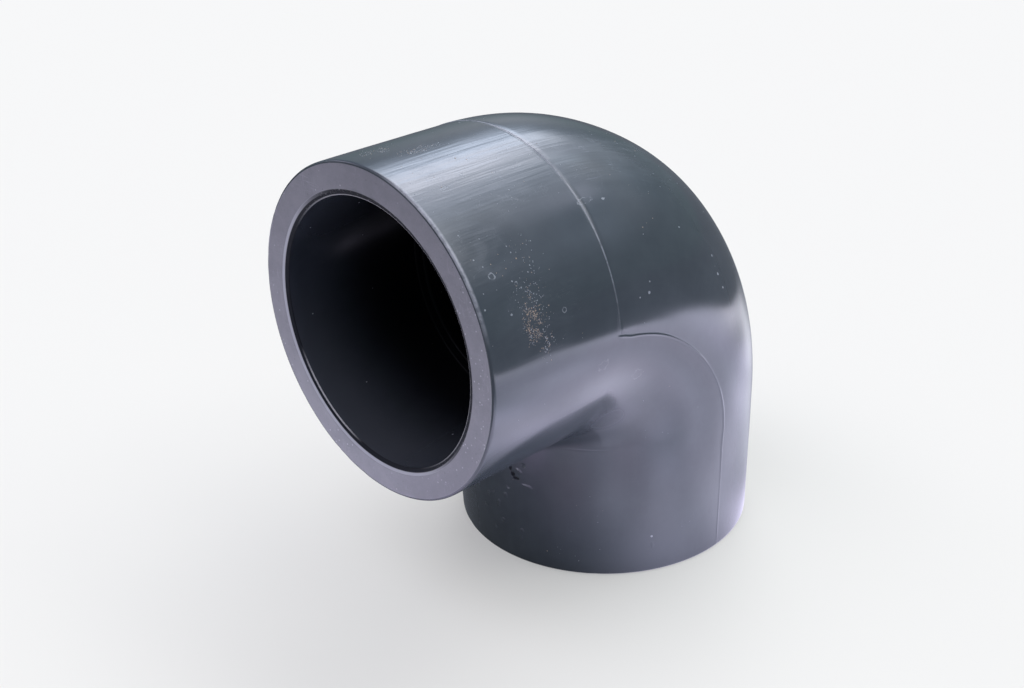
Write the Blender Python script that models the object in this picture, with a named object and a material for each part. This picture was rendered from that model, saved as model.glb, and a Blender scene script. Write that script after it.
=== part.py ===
"""Equal 90 degree elbow with two plain solvent-cement sockets: one plastic moulding.

World frame: metres, +Z up.  The elbow stands on its lower socket, whose end face
is the plane z = 0.  The other socket is horizontal and opens towards -Y.  X = 0 is
the plane of symmetry that holds both socket axes, and the world origin is the
centre of the bounding box's bottom.

The object's own origin is the point where the two socket axes cross, which is
what pipe fittings are measured from.  Rings are worked out in millimetres from it.
"""

import math

import bmesh
import bpy

MM = 0.001
QUARTER_TURN = 0.5 * math.pi

# ---- driving dimensions, in millimetres -------------------------------------
# Distances along a socket are measured from the crossing of the axes.
SOCKET_LENGTH = 59.7        # to each socket's end face
SOCKET_DEPTH = 31.0         # how far the pipe goes in
STOP_DISTANCE = SOCKET_LENGTH - SOCKET_DEPTH    # to the pipe stop

# outside
BODY_RADIUS = 31.5          # heel bend and socket roots
MOUTH_RADIUS = 31.25        # mouths: the sockets have a little draft
DRAFT_END = 38.0            # distance at which the draft ends
RIM_ROUND = 0.6             # rounding of each mouth's outer edge
OUTER_BEND_RADIUS = 30.3    # the outside's bend starts a little beyond the pipe stops
THROAT_FILLET = 2.2         # fillet where the sockets' undersides meet
THROAT_EASE = 1.2           # how softly that fillet runs out into the bend

# inside
BORE_MOUTH_RADIUS = 25.08   # socket bore at its mouth, for a 50 mm pipe
BORE_ROOT_RADIUS = 24.95    # and at its root: the taper makes the pipe wedge
CHAMFER_RADIUS = 26.3       # lead-in chamfer on the end face
CHAMFER_DEPTH = 0.6         # how far the chamfer goes in
WATERWAY_RADIUS = 22.5      # bore of the bend between the two pipe stops
BEND_RADIUS = STOP_DISTANCE  # the waterway bends from stop to stop

# ---- mesh density ------------------------------------------------------------
AROUND = 64                 # points round each section
BEND_STEPS_OUTSIDE = 16
BEND_STEPS_INSIDE = 12
RIM_STEPS = 2
SHARP_ANGLE = math.radians(32.0)    # edges that turn more than this are shaded sharp

# ---- surface ------------------------------------------------------------------
BODY_SURFACE = {
    "Base Color": (0.080, 0.096, 0.105, 1.0),   # dark iron grey
    "Roughness": 0.36,
    "Metallic": 0.0,
    "IOR": 1.54,
}

NAME = "elbow_body"


def clear_scene():
    for obj in list(bpy.data.objects):
        bpy.data.objects.remove(obj, do_unlink=True)


# ---- rings -------------------------------------------------------------------
def unit_circle():
    """Cosine and sine of each point's angle round a section."""
    step = 2.0 * math.pi / AROUND
    return [(math.cos(i * step), math.sin(i * step)) for i in range(AROUND)]


def socket_ring(radius, distance, lower):
    """A circle round a socket's axis, this far from the crossing of the axes."""
    if lower:
        return [(radius * cos, radius * sin, -distance) for cos, sin in unit_circle()]
    return [(radius * cos, -distance, radius * sin) for cos, sin in unit_circle()]


def inside_turn(offset):
    """Turning radius of the waterway's line at this offset from the pipe's axis.

    Offsets are positive towards the heel.  All the lines share one centre.
    """
    return BEND_RADIUS + offset


def outside_turn(offset):
    """Turning radius of the outside's line at this offset from the pipe's axis.

    With one shared centre the throat side would cross itself, because the body's
    radius is larger than the bend's.  Lines there turn on the fillet's radius
    instead: this is the larger of the two radii, with a soft change between them.
    """
    gap = OUTER_BEND_RADIUS + offset - THROAT_FILLET
    return THROAT_FILLET + 0.5 * (gap + math.sqrt(gap * gap + THROAT_EASE * THROAT_EASE))


def bend_ring(radius, angle, turn_at):
    """The section of the bend at this angle from the horizontal socket."""
    points = []
    for cos, sin in unit_circle():
        offset = radius * sin
        turn = turn_at(offset)
        centre = offset - turn      # the turning centre's y and z are equal
        points.append((radius * cos,
                       centre + turn * math.sin(angle),
                       centre + turn * math.cos(angle)))
    return points


def bend_rings(radius, steps, turn_at):
    """The whole bend, from the horizontal socket to the lower one."""
    return [bend_ring(radius, QUARTER_TURN * i / steps, turn_at)
            for i in range(steps + 1)]


def outside_of_socket(lower):
    """Rounded outer edge and draft of one socket, from the end face to the root."""
    rings = []
    for i in range(RIM_STEPS + 1):
        angle = QUARTER_TURN * i / RIM_STEPS
        rings.append(socket_ring(MOUTH_RADIUS - RIM_ROUND * (1.0 - math.sin(angle)),
                                 SOCKET_LENGTH - RIM_ROUND * (1.0 - math.cos(angle)),
                                 lower))
    rings.append(socket_ring(BODY_RADIUS, DRAFT_END, lower))
    return rings


def inside_of_socket(lower):
    """Chamfer and tapered bore of one socket, from the end face to the pipe stop."""
    return [
        socket_ring(CHAMFER_RADIUS, SOCKET_LENGTH, lower),
        socket_ring(BORE_MOUTH_RADIUS, SOCKET_LENGTH - CHAMFER_DEPTH, lower),
        socket_ring(BORE_ROOT_RADIUS, STOP_DISTANCE, lower),
    ]


def outside_rings():
    """Outer skin, from the horizontal mouth round the heel to the lower mouth."""
    return (outside_of_socket(lower=False)
            + bend_rings(BODY_RADIUS, BEND_STEPS_OUTSIDE, outside_turn)
            + outside_of_socket(lower=True)[::-1])


def inside_rings():
    """Inner skin, from the lower mouth back through the waterway."""
    return (inside_of_socket(lower=True)
            + bend_rings(WATERWAY_RADIUS, BEND_STEPS_INSIDE, inside_turn)[::-1]
            + inside_of_socket(lower=False)[::-1])


# ---- mesh, material and object -------------------------------------------------
def skin(rings):
    """One closed mesh: each ring is joined to the next, and the last to the first."""
    builder = bmesh.new()
    loops = [[builder.verts.new((x * MM, y * MM, z * MM)) for x, y, z in ring]
             for ring in rings]
    for loop, next_loop in zip(loops, loops[1:] + loops[:1]):
        for i in range(AROUND):
            j = (i + 1) % AROUND
            builder.faces.new((loop[i], loop[j], next_loop[j], next_loop[i]))
    bmesh.ops.recalc_face_normals(builder, faces=builder.faces)
    mesh = bpy.data.meshes.new(NAME)
    builder.to_mesh(mesh)
    builder.free()
    mesh.shade_smooth()
    mesh.set_sharp_from_angle(angle=SHARP_ANGLE)
    return mesh


def body_material():
    material = bpy.data.materials.new("dark_grey_pvc")
    material.use_nodes = True
    shader = material.node_tree.nodes["Principled BSDF"]
    for socket_name, value in BODY_SURFACE.items():
        shader.inputs[socket_name].default_value = value
    return material


def build():
    clear_scene()
    body = bpy.data.objects.new(NAME, skin(outside_rings() + inside_rings()))
    body.data.materials.append(body_material())
    bpy.context.scene.collection.objects.link(body)
    # stands on the lower socket, with the bounding box centred over the world origin
    body.location = (0.0,
                     0.5 * (SOCKET_LENGTH - BODY_RADIUS) * MM,
                     SOCKET_LENGTH * MM)


build()
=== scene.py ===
"""Looks of a one-piece 90 degree elbow in dark grey PVC, standing in a plain pale studio.

The horizontal socket opens towards -Y and the lower socket towards -Z. The heel of the
bend faces +Y and +Z, the throat lies between the sockets, and the flanks face +X and -X.

Mesh lengths are millimetres from the point where the two socket axes cross; they become
metres in the row frame when the mesh is made. Angles go round the section: 0 on the +X
flank, 90 degrees on the heel side, -90 on the throat side. "Along" is the distance along
the pipe from the horizontal mouth.
"""
import math
from functools import cached_property, reduce

import bpy
import numpy as np
from mathutils import Matrix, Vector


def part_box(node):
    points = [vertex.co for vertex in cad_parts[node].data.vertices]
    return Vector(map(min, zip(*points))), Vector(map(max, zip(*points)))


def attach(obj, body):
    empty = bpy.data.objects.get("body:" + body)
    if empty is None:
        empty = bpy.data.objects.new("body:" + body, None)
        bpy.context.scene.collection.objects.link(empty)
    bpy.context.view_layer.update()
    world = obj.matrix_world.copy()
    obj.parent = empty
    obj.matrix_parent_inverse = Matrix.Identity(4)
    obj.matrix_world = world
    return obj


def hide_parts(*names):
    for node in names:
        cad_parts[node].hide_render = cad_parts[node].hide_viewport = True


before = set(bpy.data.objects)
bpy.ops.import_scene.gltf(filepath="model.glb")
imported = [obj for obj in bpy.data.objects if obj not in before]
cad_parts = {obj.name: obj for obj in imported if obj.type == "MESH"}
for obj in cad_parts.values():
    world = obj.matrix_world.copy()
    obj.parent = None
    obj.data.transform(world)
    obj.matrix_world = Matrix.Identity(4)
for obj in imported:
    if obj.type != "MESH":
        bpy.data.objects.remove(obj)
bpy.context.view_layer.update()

# ------------------------------------------------------------------ dimensions
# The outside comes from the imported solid's box; the rest are the design's own sizes.
body_lo, body_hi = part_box("elbow_body")
MM = 0.001
DEGREE = math.pi / 180.0
RADIUS = body_hi.x / MM                # outside of the bend
CROSS_Y = body_hi.y / MM - RADIUS      # crossing of the socket axes, row frame
CROSS_Z = body_hi.z / MM - RADIUS
REACH = CROSS_Z - body_lo.z / MM       # crossing to each end face
STOP_DEPTH = 31.0                      # pipe stop below the face
WATER_BEND = REACH - STOP_DEPTH        # bend radius of the waterway's axis
OUTER_BEND = 30.3                      # and of the outside's
MOUTH_RADIUS = RADIUS - 0.25           # outside at the mouth, after the draft
DRAFT_START = 38.0                     # distance from the crossing where the draft starts
RIM = 0.45                             # outer edge rounding
ROLL, ROLL_DROP = 0.25, 0.025          # length and drop of the shallow roll-off behind it
BORE_MOUTH, BORE_ROOT = 25.08, 24.95   # bore radius at the chamfer and at the stop
BORE_FILLET = 0.45
CHAMFER_RADIUS, CHAMFER_DEPTH = 26.3, 0.6
CHAMFER_EASE = 0.12                    # the bore starts this far below the chamfer
WATER_RADIUS = 22.5
THROAT_FILLET, THROAT_EASE = 2.2, 1.2
RING_LINE_Y = -30.4                    # mould line at the horizontal socket's root
LOWER_MARK = 30.6                      # faint mould mark, below the crossing

BEND_START = REACH - OUTER_BEND        # along the pipe
BEND_LENGTH = OUTER_BEND * math.pi / 2
BEND_END = BEND_START + BEND_LENGTH
TOTAL = 2 * REACH - 2 * OUTER_BEND + BEND_LENGTH

# Path place (0-1 horizontal socket, 1-2 bend, 2-3 lower socket) and the flank mould
# line's angle from the middle of the flank, in degrees.
FLANK_LINE = [
    (0.95, -0.2), (1.02, -1.5), (1.08, -2.8), (1.21, -3.3), (1.34, -3.35),
    (1.51, -2.8), (1.61, -2.0), (1.72, -0.9), (1.82, 0.3), (1.96, 1.6),
    (2.05, 1.9), (2.2, 1.25), (3.0, 1.2),
]


# ---------------------------------------------------------------------- curves
def rise(value, start, end):
    """0 at start, 1 at end, eased between them."""
    share = np.clip((value - start) / (end - start), 0.0, 1.0)
    return share * share * (3.0 - 2.0 * share)


def bell(value, width):
    return np.exp(-(value / width) ** 2)


def fall(value, length):
    """1 up to zero, then dying away over a length."""
    return np.exp(-np.maximum(value, 0) / length)


def curve(value, table):
    """Smooth curve through (place, height) points, monotone where they are."""
    places, heights = np.array(table).T
    rates = np.diff(heights) / np.diff(places)
    slopes = np.zeros(len(places))
    for i in range(1, len(places) - 1):
        before, after = rates[i - 1], rates[i]
        if before * after > 0:
            slopes[i] = 2 * before * after / (before + after)
    value = np.clip(value, places[0], places[-1])
    i = np.clip(np.searchsorted(places, value, side="right") - 1, 0, len(places) - 2)
    gap = places[i + 1] - places[i]
    share = (value - places[i]) / gap
    rest = 1 - share
    return (heights[i] * (1 + 2 * share) * rest ** 2 + gap * slopes[i] * share * rest ** 2
            + heights[i + 1] * share * share * (3 - 2 * share)
            + gap * slopes[i + 1] * share * share * (share - 1))


def flank_line_angle(place):
    return DEGREE * curve(place, FLANK_LINE)


def ring_line_y(angles):
    """The mould line round the horizontal socket's root bows towards the bend at the flanks."""
    from_flank = np.minimum(np.abs(angles), np.abs(angles - math.pi)) / DEGREE
    return RING_LINE_Y + 0.45 * bell(from_flank, 22.0)


def outside_turn(height):
    """Turning radius of the outside, at a height above the socket axis."""
    gap = OUTER_BEND + height - THROAT_FILLET
    return THROAT_FILLET + 0.5 * (gap + np.sqrt(gap * gap + THROAT_EASE * THROAT_EASE))


def drafted_radius(distance):
    share = (distance - DRAFT_START) / (REACH - RIM - DRAFT_START)
    return RADIUS + (MOUTH_RADIUS - RADIUS) * np.clip(share, 0, 1)


def along_at(distance, lower):
    """Distance along the pipe, from the distance to the crossing in one socket."""
    return TOTAL - (REACH - distance) if lower else REACH - distance


# --------------------------------------------------------------------- columns
# The columns start at the throat, so the wrap is hidden. Extra ones gather about the
# middle of both flanks, where the mould lines run.
COLUMN_STEPS = 316
FLANK_GAP = 1.5 / RADIUS               # even columns stay this far from the mid-flanks
FLANK_OFFSETS = np.array([0.09, 0.18, 0.28, 0.42, 0.70, 1.15])     # mm


def section_columns():
    fine = np.concatenate([-FLANK_OFFSETS[::-1], [0.0], FLANK_OFFSETS]) / RADIUS
    even = -0.5 * math.pi + 2 * math.pi * (np.arange(COLUMN_STEPS) + 0.5) / COLUMN_STEPS
    clear = (np.abs(even) > FLANK_GAP) & (np.abs(even - math.pi) > FLANK_GAP)
    return np.sort(np.concatenate([even[clear], fine, math.pi + fine]))


COLUMNS = section_columns()
COLUMN_COUNT = len(COLUMNS)


def leaning(place):
    """Column angles at a path place: flank columns lean to follow the mould lines."""
    lean = float(flank_line_angle(place))
    spread = 24 * DEGREE
    return COLUMNS + lean * bell(COLUMNS, spread) - lean * bell(COLUMNS - math.pi, spread)


# ----------------------------------------------------------------------- rings
SKIN, FACE, BORE = 0, 1, 2             # zones, which are also the material slots
PLAIN_FROM = 36.0                      # rings are plane circles from here to the mouth
SOCKET_ROWS = np.linspace(REACH - 2.2, PLAIN_FROM, 30)
ROOT_SHARES = (0.14, 0.28, 0.42, 0.55, 0.66)
LINE_OFFSETS = (0.80, 0.55, 0.38, 0.25, 0.12)          # either side of a mould line, mm
OUTER_BEND_STEPS, INNER_BEND_STEPS = 76, 30

rings = []                             # each: points, angles, along, zone


def add_straight(angles, radius, distance, lower, zone):
    distance = distance * np.ones(COLUMN_COUNT)
    side, height = radius * np.cos(angles), radius * np.sin(angles)
    parts = [side, height, -distance] if lower else [side, -distance, height]
    rings.append((np.stack(parts, 1), angles, along_at(distance, lower), zone))


def add_bend(angles, radius, turn, bent, zone):
    """A ring of the bend, `bent` radians round it; `turn` is each column's turning radius."""
    centre = radius * np.sin(angles) - turn
    parts = [radius * np.cos(angles), centre + turn * math.sin(bent),
             centre + turn * math.cos(bent)]
    along = (BEND_START + OUTER_BEND * bent) * np.ones(COLUMN_COUNT)
    rings.append((np.stack(parts, 1), angles, along, zone))


def root_rows(angles, line):
    """Distances between the plane circles and the bend, gathered about a mould line."""
    height = RADIUS * np.sin(angles)
    end = outside_turn(height) - height                # where the bend starts
    rows = [PLAIN_FROM + (line + LINE_OFFSETS[0] - PLAIN_FROM) * (share / 0.75)
            for share in ROOT_SHARES]
    rows += [line + offset for offset in LINE_OFFSETS]
    rows.append(line)
    rows += [line - offset for offset in LINE_OFFSETS[::-1]]
    rows.append(0.5 * (rows[-1] + end))
    # below the flanks the bend starts further out: the last rows gather just ahead of it
    return [np.maximum(row, end + 0.05 * (len(rows) - i)) for i, row in enumerate(rows)]


def rim_profile():
    """Radius and depth below the face, from the face outwards to the draft."""
    sweep = math.pi / 2 - math.atan2(ROLL_DROP, ROLL * 0.75)
    rim_radius = MOUTH_RADIUS - ROLL_DROP
    profile = [(rim_radius - RIM * (math.sin(sweep) - math.sin(turn)), RIM * (1 - math.cos(turn)))
               for turn in np.linspace(0, sweep, 8)]
    rim_depth = profile[-1][1]
    # the roll-off: a steady slope that eases into the draft
    for share in (0.3, 0.6, 0.8, 1.0, 1.2, 1.5):
        if share < 1.0:
            radius = rim_radius + ROLL_DROP * (share - max(0.0, share - 0.5) ** 2)
        else:
            radius = MOUTH_RADIUS - 0.004 * (1.5 - share)
        profile.append((radius, rim_depth + ROLL * share))
    return profile


def mouth_profile():
    """Radius, depth below the face and zone, from the rim inwards to the waterway."""
    profile = [(radius, 0.0, FACE)
               for radius in np.linspace(MOUTH_RADIUS - RIM, CHAMFER_RADIUS + 0.10, 9)[1:]]
    # eased edge between face and chamfer, the chamfer, and its eased edge to the bore
    profile += [(CHAMFER_RADIUS + 0.03, 0.012, FACE), (CHAMFER_RADIUS - 0.06, 0.05, FACE)]
    for share in (0.2, 0.4, 0.6, 0.8):
        radius = CHAMFER_RADIUS + (BORE_MOUTH - CHAMFER_RADIUS) * share
        profile.append((radius, CHAMFER_DEPTH * share, FACE))
    bore_start = CHAMFER_DEPTH + CHAMFER_EASE
    profile += [(BORE_MOUTH + 0.10, CHAMFER_DEPTH - 0.03, FACE),
                (BORE_MOUTH + 0.03, CHAMFER_DEPTH + 0.02, FACE),
                (BORE_MOUTH, bore_start, FACE)]
    for share in np.linspace(0, 1, 14)[1:-1]:
        profile.append((BORE_MOUTH + (BORE_ROOT - BORE_MOUTH) * share,
                        bore_start + (STOP_DEPTH - 0.5 - bore_start) * share, BORE))
    for turn in np.linspace(0, math.pi / 2, 5):        # root fillet of the pipe stop
        profile.append((BORE_ROOT - BORE_FILLET * (1 - math.cos(turn)),
                        STOP_DEPTH - BORE_FILLET * (1 - math.sin(turn)), BORE))
    profile += [(23.7, STOP_DEPTH, BORE), (WATER_RADIUS + 0.3, STOP_DEPTH, BORE)]
    return profile


def add_socket_outside(lower):
    """The horizontal socket runs from mouth to bend, the lower one from bend to mouth."""
    mouth_place, root_place = (2.5, 2.04) if lower else (0.5, 0.97)
    mouth, root = leaning(mouth_place), leaning(root_place)
    line = LOWER_MARK if lower else -ring_line_y(root)
    rows = [(mouth, radius, REACH - depth) for radius, depth in rim_profile()]
    rows += [(mouth, drafted_radius(distance), distance) for distance in SOCKET_ROWS]
    rows += [(root, RADIUS, distance) for distance in root_rows(root, line)]
    for angles, radius, distance in rows[::-1] if lower else rows:
        add_straight(angles, radius, distance, lower, SKIN)


def add_outside():
    add_socket_outside(lower=False)
    for i in range(OUTER_BEND_STEPS + 1):
        angles = leaning(1 + i / OUTER_BEND_STEPS)
        turn = outside_turn(RADIUS * np.sin(angles))
        add_bend(angles, RADIUS, turn, 0.5 * math.pi * i / OUTER_BEND_STEPS, SKIN)
    add_socket_outside(lower=True)


def add_inside():
    """Back from the lower mouth to the horizontal one, through the waterway."""
    for radius, depth, zone in mouth_profile():
        add_straight(leaning(2.5), radius, REACH - depth, True, zone)
    for i in range(INNER_BEND_STEPS, -1, -1):
        # the waterway's edge is eased into the pipe stops
        radius = WATER_RADIUS + (0.12 if i in (0, INNER_BEND_STEPS) else 0.0)
        turn = WATER_BEND + radius * np.sin(COLUMNS)
        add_bend(COLUMNS, radius, turn, 0.5 * math.pi * i / INNER_BEND_STEPS, BORE)
    for radius, depth, zone in reversed(mouth_profile()):
        add_straight(leaning(0.5), radius, REACH - depth, False, zone)


add_outside()
add_inside()

# One row per ring, one column per section angle.
POINTS, ANGLE, ALONG = (np.stack([ring[i] for ring in rings]) for i in range(3))
ZONE = np.array([ring[3] for ring in rings])
ROW_COUNT = len(rings)
X, Y, Z = POINTS[..., 0], POINTS[..., 1], POINTS[..., 2]


def outward_normals():
    round_section = np.roll(POINTS, -1, 1) - np.roll(POINTS, 1, 1)
    along_pipe = np.roll(POINTS, -1, 0) - np.roll(POINTS, 1, 0)
    normals = np.cross(along_pipe, round_section)
    return normals / np.maximum(np.linalg.norm(normals, axis=-1, keepdims=True), 1e-12)


# ---------------------------------------------------------------------- relief
# Heights in mm along the outward normal.
def bend_centre():
    """The centre each column of the outside turns about, the same in y and z."""
    height = RADIUS * np.sin(ANGLE)
    return height - outside_turn(height)


def path_place():
    """0-1 on the horizontal socket, 1-2 on the bend, 2-3 on the lower socket."""
    bent = np.arctan2(np.maximum(Y - CENTRE, 0), np.maximum(Z - CENTRE, 0))
    on_lower = 2 + (CENTRE - Z) / (REACH + CENTRE)
    return np.where(Y < CENTRE, 1 + (Y - CENTRE) / (REACH + CENTRE),
                    np.where(Z < CENTRE, on_lower, 1 + bent / (math.pi / 2)))


ON_SKIN = (ZONE == SKIN)[:, None]
CENTRE = bend_centre()
PLACE = path_place()
FROM_RING = Y - ring_line_y(ANGLE)     # from the ring mould line towards the bend
ON_TOP = rise(np.minimum(ANGLE, math.pi - ANGLE) * RADIUS, -0.35, 0.0)
OFF_RIM = rise(REACH - np.abs(Y), 0.0, 1.5) * rise(REACH - np.abs(Z), 0.0, 1.5)


def waves(along, seed, count, around, length, size):
    """Waviness, periodic round the section; `size` mm rms.

    `around` is the range of waves round the section, `length` of wavelengths along it.
    """
    rng = np.random.default_rng(seed)
    total = 0.0
    for _ in range(count):
        rounds = int(round(rng.uniform(*around)))
        wavelength = rng.uniform(*length)
        total = total + np.cos(
            rounds * ANGLE + rng.choice((-1.0, 1.0)) * 2 * math.pi * along / wavelength
            + rng.uniform(0, 2 * math.pi))
    return total * size * math.sqrt(2.0 / count)


def angle_from(centre):
    return (ANGLE - centre + math.pi) % (2 * math.pi) - math.pi


def below_mouth(lower):
    return TOTAL - ALONG if lower else ALONG


def ring_line():
    """Mould line round the horizontal socket's root, over its upper half."""
    wander = 0.9 + 0.22 * waves(0.0, seed=11, count=9, around=(2, 30), length=(40, 90), size=0.8)
    ridge = 0.075 * rise(FROM_RING, -0.20, 0.22) * fall(FROM_RING - 0.22, 1.3)
    groove = 0.030 * bell(FROM_RING + 0.27, 0.12)
    # the bend's side of the line stands a little proud
    proud = 0.02 * rise(FROM_RING, -0.2, 0.2) * fall(FROM_RING, 5.0)
    return ON_TOP * (PLACE < 1.9) * (np.clip(wander, 0.5, 1.3) * (ridge - groove) + proud)


def flank_lines():
    """Flash lines along both flanks, from the ring line to the lower mouth."""
    vary = 0.8 + 0.25 * np.cos(ALONG * 0.31 + 1.3) * np.cos(ALONG * 0.113)
    relief = 0.0
    for angle in (ANGLE, math.pi - ANGLE):
        offset = (angle - flank_line_angle(PLACE)) * RADIUS
        relief = relief + 0.125 * vary * bell(offset, 0.21)
        relief = relief + 0.035 * rise(offset, -0.1, 0.1) * fall(offset, 3.0)
    present = rise(FROM_RING, -0.125, 0.125) * (PLACE > 0.9)
    lower_on_socket = 1 - 0.45 * rise(PLACE, 1.9, 2.4)
    return relief * present * OFF_RIM * lower_on_socket


def lower_mark():
    """Faint mark where the lower socket meets the bend, on the throat side below +X."""
    degrees = ANGLE / DEGREE
    below = -Z - LOWER_MARK
    present = rise(CENTRE - Z, -0.9, 0.3) * (PLACE > 1.95)
    present = present * rise(degrees, -84.0, -70.0) * rise(degrees, -42.0, -56.0)
    step = 0.9 * rise(below, -0.15, 0.15) * fall(below, 2.5)
    return 0.022 * present * (bell(below, 0.2) - step)


def waviness():
    """Slow waviness of the moulding, and shallow sink along the sockets."""
    slow = waves(ALONG, seed=5, count=14, around=(2, 9), length=(22, 70), size=0.020)
    sink = waves(ALONG, seed=6, count=18, around=(8, 26), length=(60, 220), size=0.0035)
    return OFF_RIM * (slow + sink)


# lower socket or not, degrees, z (lower) or y (horizontal), height, radius across, along
SOCKET_KNOCKS = [
    (True, -75.0, -41.6, 0.05, 1.4, 1.2), (True, -86.5, -40.6, 0.04, 1.3, 1.5),
    (True, 128.0, -47.0, -0.04, 1.2, 1.2), (False, 146.0, -44.0, -0.04, 1.2, 1.4),
]


def socket_knocks():
    relief = 0.0
    for lower, degrees, place, height, across, along in SOCKET_KNOCKS:
        shape = bell(angle_from(degrees * DEGREE) * RADIUS, across)
        shape = shape * bell((Z if lower else Y) - place, along)
        relief = relief + height * shape * (PLACE > 2.0 if lower else PLACE < 1.0)
    return relief


def inner_edge_chips(rng):
    """Small dents in the end faces, near the chamfer."""
    edge_radius = 25.5                                 # turns angles into widths
    relief = np.zeros(ANGLE.shape)
    for lower, count in ((False, 70), (True, 40)):
        rows = (ZONE == FACE) & (below_mouth(lower)[:, 0] == 0.0)
        radii = np.hypot(X, Y if lower else Z)[rows]
        for _ in range(count):
            # most chips of the horizontal mouth lie on its +X upper side
            if not lower and rng.random() < 0.7:
                centre = rng.uniform(-15, 105) * DEGREE
            else:
                centre = rng.uniform(-180, 180) * DEGREE
            width = rng.uniform(0.25, 0.8)
            depth = rng.uniform(0.02, 0.11)
            radius = rng.uniform(25.3, 26.35)
            across = bell(angle_from(centre)[rows] * edge_radius, width)
            relief[rows] -= depth * across * bell(radii - radius, 0.35)
    return np.clip(relief, -0.16, 0.0)


def rim_nicks(rng):
    relief = 0.0
    for _ in range(26):
        centre = rng.uniform(-math.pi, math.pi)
        lower = rng.random() < 0.4
        width = rng.uniform(0.3, 1.1)
        depth = rng.uniform(0.01, 0.05)
        shape = bell(angle_from(centre) * RADIUS, width) * bell(below_mouth(lower) - 0.25, 0.45)
        relief = relief - depth * shape
    return relief


def relieved_points():
    damage = np.random.default_rng(77)                 # shared: chips draw first, then nicks
    relief = inner_edge_chips(damage)
    relief += ON_SKIN * (ring_line() + flank_lines() + lower_mark() + waviness()
                         + socket_knocks() + rim_nicks(damage))
    points = POINTS + outward_normals() * relief[..., None]
    # the end faces stay inside their planes
    points[..., 1:] = np.maximum(points[..., 1:], -REACH)
    return points


# --------------------------------------------------------------------- meshing
def add_attribute(mesh, name, kind, domain, field, values):
    attribute = mesh.attributes.new(name, kind, domain)
    attribute.data.foreach_set(field, values.astype(np.float32).ravel())


def flat_coordinates(mesh):
    """Per corner: the outside unrolled flat (round, along), cut on the throat's -X side."""
    cut = 125 * DEGREE
    turned = (ANGLE + cut) % (2 * math.pi) - cut
    corners = np.empty(len(mesh.loops), np.int32)
    mesh.loops.foreach_get("vertex_index", corners)
    row, column = corners // COLUMN_COUNT, corners % COLUMN_COUNT
    first_column = np.repeat(np.arange(len(mesh.polygons)), 4) % COLUMN_COUNT
    start = turned[row, first_column]
    angle = turned[row, column]
    angle = np.where(angle < start - math.pi, angle + 2 * math.pi, angle)
    return np.stack([RADIUS * angle, ALONG[row, column], 0 * angle], -1)


def build_mesh():
    crossing = np.array([0.0, CROSS_Y, CROSS_Z])
    verts = relieved_points().reshape(-1, 3) * MM + crossing * MM
    here = np.arange(ROW_COUNT)[:, None] * COLUMN_COUNT + np.arange(COLUMN_COUNT)[None, :]
    beside = np.roll(here, -1, 1)
    quads = np.stack([here, beside, np.roll(beside, -1, 0), np.roll(here, -1, 0)], -1)
    mesh = bpy.data.meshes.new("elbow_moulding")
    mesh.from_pydata(verts.tolist(), [], quads.reshape(-1, 4).tolist())
    mesh.update()
    mesh.flip_normals()                                # the quads are wound inwards
    # a band between two zones takes the inner one
    band_zone = np.maximum(ZONE, np.roll(ZONE, -1))
    slots = np.repeat(band_zone, COLUMN_COUNT).astype(np.int32)
    mesh.polygons.foreach_set("material_index", slots)
    mesh.shade_smooth()

    # straightened pipe in mm (round, round, along), for streaks and marks
    pipe = np.stack([RADIUS * np.cos(ANGLE), RADIUS * np.sin(ANGLE), ALONG], -1)
    add_attribute(mesh, "pipe", "FLOAT_VECTOR", "POINT", "vector", pipe)
    add_attribute(mesh, "flat", "FLOAT_VECTOR", "CORNER", "vector", flat_coordinates(mesh))
    # distance from the ring mould line; 50 stands for far away
    has_ring = ON_SKIN & (PLACE < 1.9) & (ON_TOP > 0.5)
    ring = np.where(has_ring, FROM_RING, 50.0)
    add_attribute(mesh, "ring", "FLOAT", "POINT", "value", ring)
    mesh.update()
    return mesh


elbow_mesh = build_mesh()
elbow = bpy.data.objects.new("elbow_moulding", elbow_mesh)
bpy.context.scene.collection.objects.link(elbow)


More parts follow.
